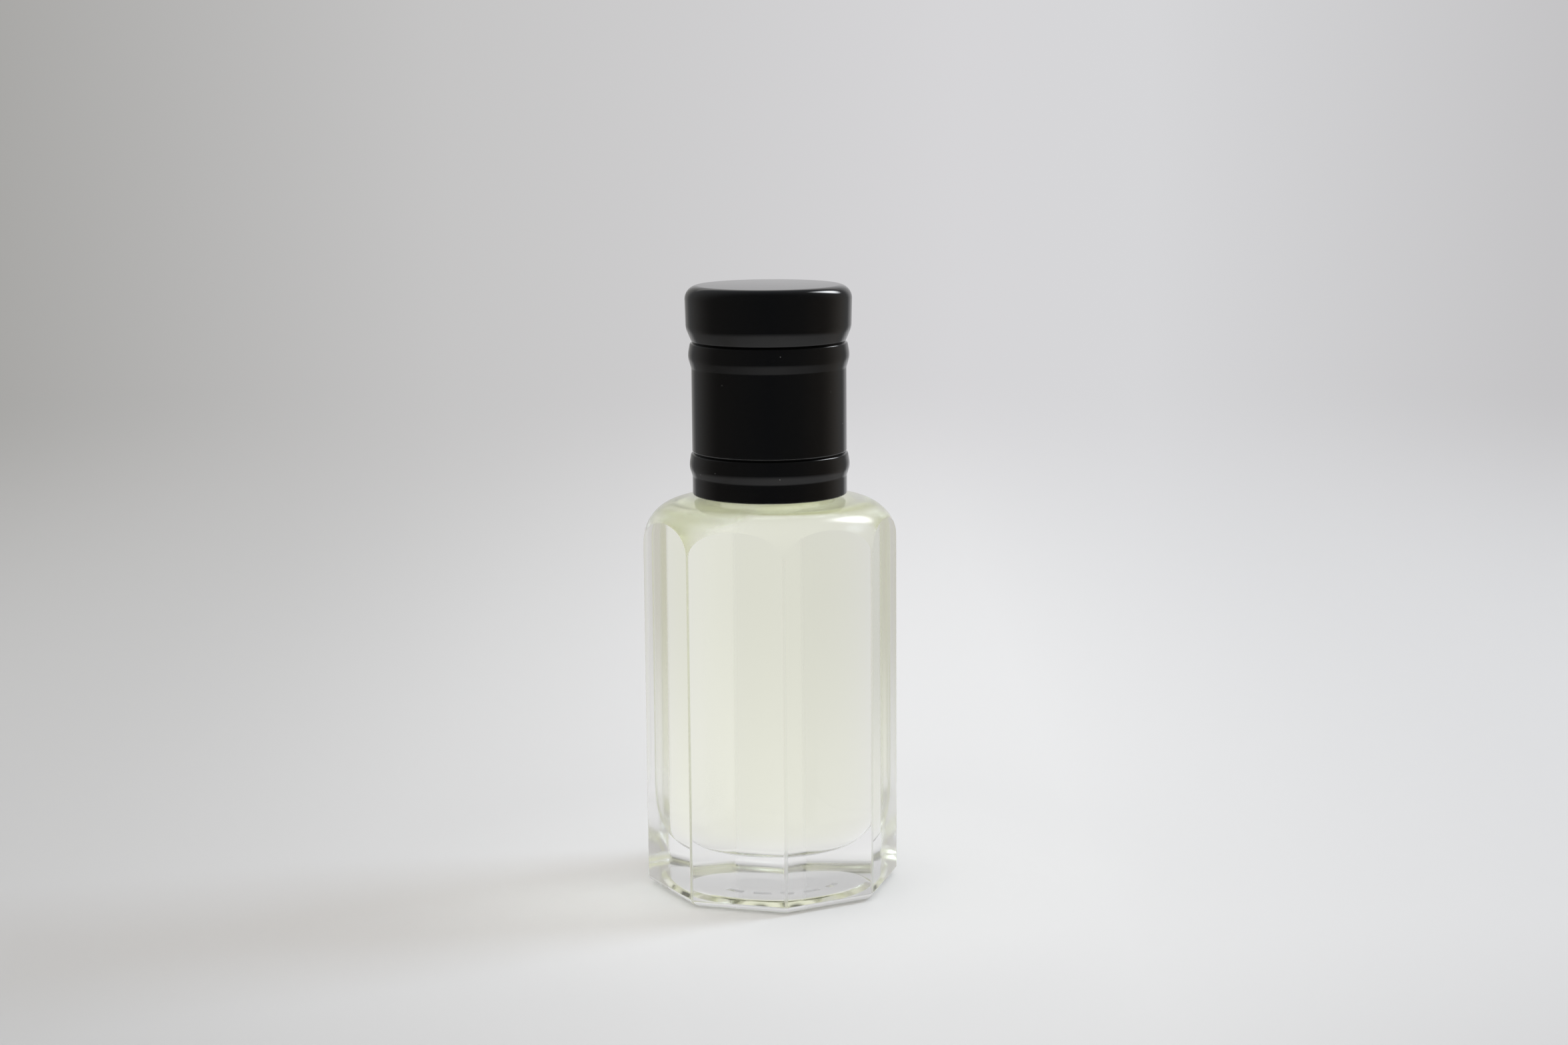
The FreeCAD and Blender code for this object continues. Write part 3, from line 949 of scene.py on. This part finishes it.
def showAround(finish, heading, plain, nearness=1, level=1):   # gives gloss and glass their own surroundings
    look = lightLook
    side = across(finish, heading)
    ahead = along(finish, heading, viewFront)
    beside = finish.ramp(ahead, look["roomEdge"], look["roomFull"])
    lift = 1 + look["roomLift"] * (1 - finish.ramp(ahead, look["liftFull"], look["liftFrom"]))
    height = shade(finish, "glassLevels", along(finish, heading, Vector((0, 0, 1))))
    room = glow(finish, shade(finish, "roomStops", side), lift)
    front = finish.ramp(ahead, look["frontEdge"], look["frontFull"]) * nearness
    clear = finish.blend(front, shade(finish, "glassStops", side), look["frontGlass"])
    shown = mixed(finish, seenInGloss(finish) * beside * nearness, plain, room)
    return mixed(finish, seenThrough(finish), shown, glow(finish, clear, height * level))


def makeStage():
    size, look = stageSizes, lightLook
    floorHeight = -size["airGap"]        # a breath of air under the glass, as on paper
    corners = [
        (0, floorHeight),
        (size["floorRadius"], floorHeight, size["wallRound"]),
        (size["floorRadius"], size["wallHeight"]),
    ]
    floor = lathe("studioFloor", corners, size["steps"])
    bpy.ops.mesh.flip_normals()
    cleanSlate()
    for polygon in floor.data.polygons:
        polygon.use_smooth = True
    finish = newFinish("paleFloor")
    spot = finish.places()
    reach = finish.vectorMaths("LENGTH", "Value", spot)
    heading = finish.vectorMaths("NORMALIZE", "Vector", spot)
    fromCamera = finish.vectorMaths("SUBTRACT", "Vector", spot, standPoint)
    viewed = finish.vectorMaths("NORMALIZE", "Vector", fromCamera)
    backdropSide = across(finish, viewed)
    # painted light and shade in the floor's colour: lighter round the bottle, darker to the sides
    floorSide = finish.ramp(along(finish, spot, viewRight), -look["floorSpan"], look["floorSpan"])
    # painted shade: the floor's colour grows darker towards the camera
    front = finish.ramp(along(finish, spot, viewFront), look["frontFrom"], look["frontTo"])
    paper = finish.blend(front * look["frontPaintedShade"], shade(finish, "floorLightAndShadeStops", floorSide), black)
    # painted pool of light: a glow added to the floor round the bottle's foot
    paintedPool = (1 - finish.ramp(reach, look["paintedPoolFrom"], look["paintedPoolTo"])) * look["paintedPool"]
    lit = finish.node("ShaderNodeAddShader", None, {
        0: finish.node("ShaderNodeBsdfDiffuse", None, {"Color": paper}),
        1: glow(finish, look["paintedPoolColour"], paintedPool),
    })
    nearCamera = finish.ramp(along(finish, spot, viewFront), look["plainFrom"], look["plainTo"])
    # painted shade on the backdrop: its glow is darker towards the sides of the view
    farTone = finish.blend(nearCamera, shade(finish, "backdropStops", backdropSide), look["plainBackdrop"])
    direct = ray(finish, "Is Camera Ray") + seenInGloss(finish)
    farShare = direct * finish.ramp(reach, 0, look["backdropFar"])
    shown = mixed(finish, farShare, lit, glow(finish, farTone))
    # painted shadow under and round the bottle, in what shows through the glass
    level = shade(finish, "glassReachShadow", reach * (1 / look["reachSpan"]))
    shown = showAround(finish, heading, shown, finish.ramp(reach, look["roomFrom"], look["roomTo"]), level)
    floor.data.materials.append(finish.surface(shown))


def addPanel(name, panel):               # a soft panel that faces the bottle
    cleanSlate()
    bpy.ops.object.light_add(type="AREA")
    lamp = bpy.context.object
    lamp.name = name
    lamp.data.shape, lamp.data.color = "RECTANGLE", panel["colour"]
    lamp.data.size, lamp.data.size_y = panel["wide"], panel["high"]
    lamp.data.energy = panel["radiance"] * math.pi * panel["wide"] * panel["high"]
    spot = viewTurn @ Vector(panel["place"])
    lamp.location = spot
    lamp.rotation_euler = (-spot).to_track_quat("-Z", "Y").to_euler()
    return lamp


def lightStage():
    look = lightLook
    world = bpy.data.worlds.new("softSky")
    bpy.context.scene.world = world
    sky = Finish(world)
    heading = sky.node("ShaderNodeTexCoord", output="Generated")
    shown = showAround(sky, heading, glow(sky, look["skyColour"], look["skyFill"]))
    sky.node("ShaderNodeOutputWorld", None, {"Surface": shown})
    window = addPanel("windowLight", look["window"])
    window.visible_glossy = False
    lamp = Finish(window.data)           # clear glass doesn't show the lamp itself
    lamp.node("ShaderNodeOutputLight", None, {"Surface": glow(lamp, white, 1 - seenThrough(lamp))})
    glint = addPanel("glintPanel", look["glint"])    # only mirror images see it
    glint.visible_diffuse = glint.visible_transmission = False
    lamp = Finish(glint.data)            # brightest in its middle
    spot = lamp.node("ShaderNodeNewGeometry", output="Parametric")
    away = lamp.vectorMaths("DISTANCE", "Value", spot, look["glint"]["middle"])
    fade = lamp.ramp(away, look["glint"]["fadeFrom"], look["glint"]["fadeTo"])
    lamp.node("ShaderNodeOutputLight", None, {"Surface": glow(lamp, white, 1 - fade)})


makeStage()
lightStage()
scene = bpy.context.scene
scene.view_settings.view_transform = "Standard"
for setting, count in lightLook["bounces"].items():      # light goes far inside thick glass
    setattr(scene.cycles, setting, count)
print("stage set")
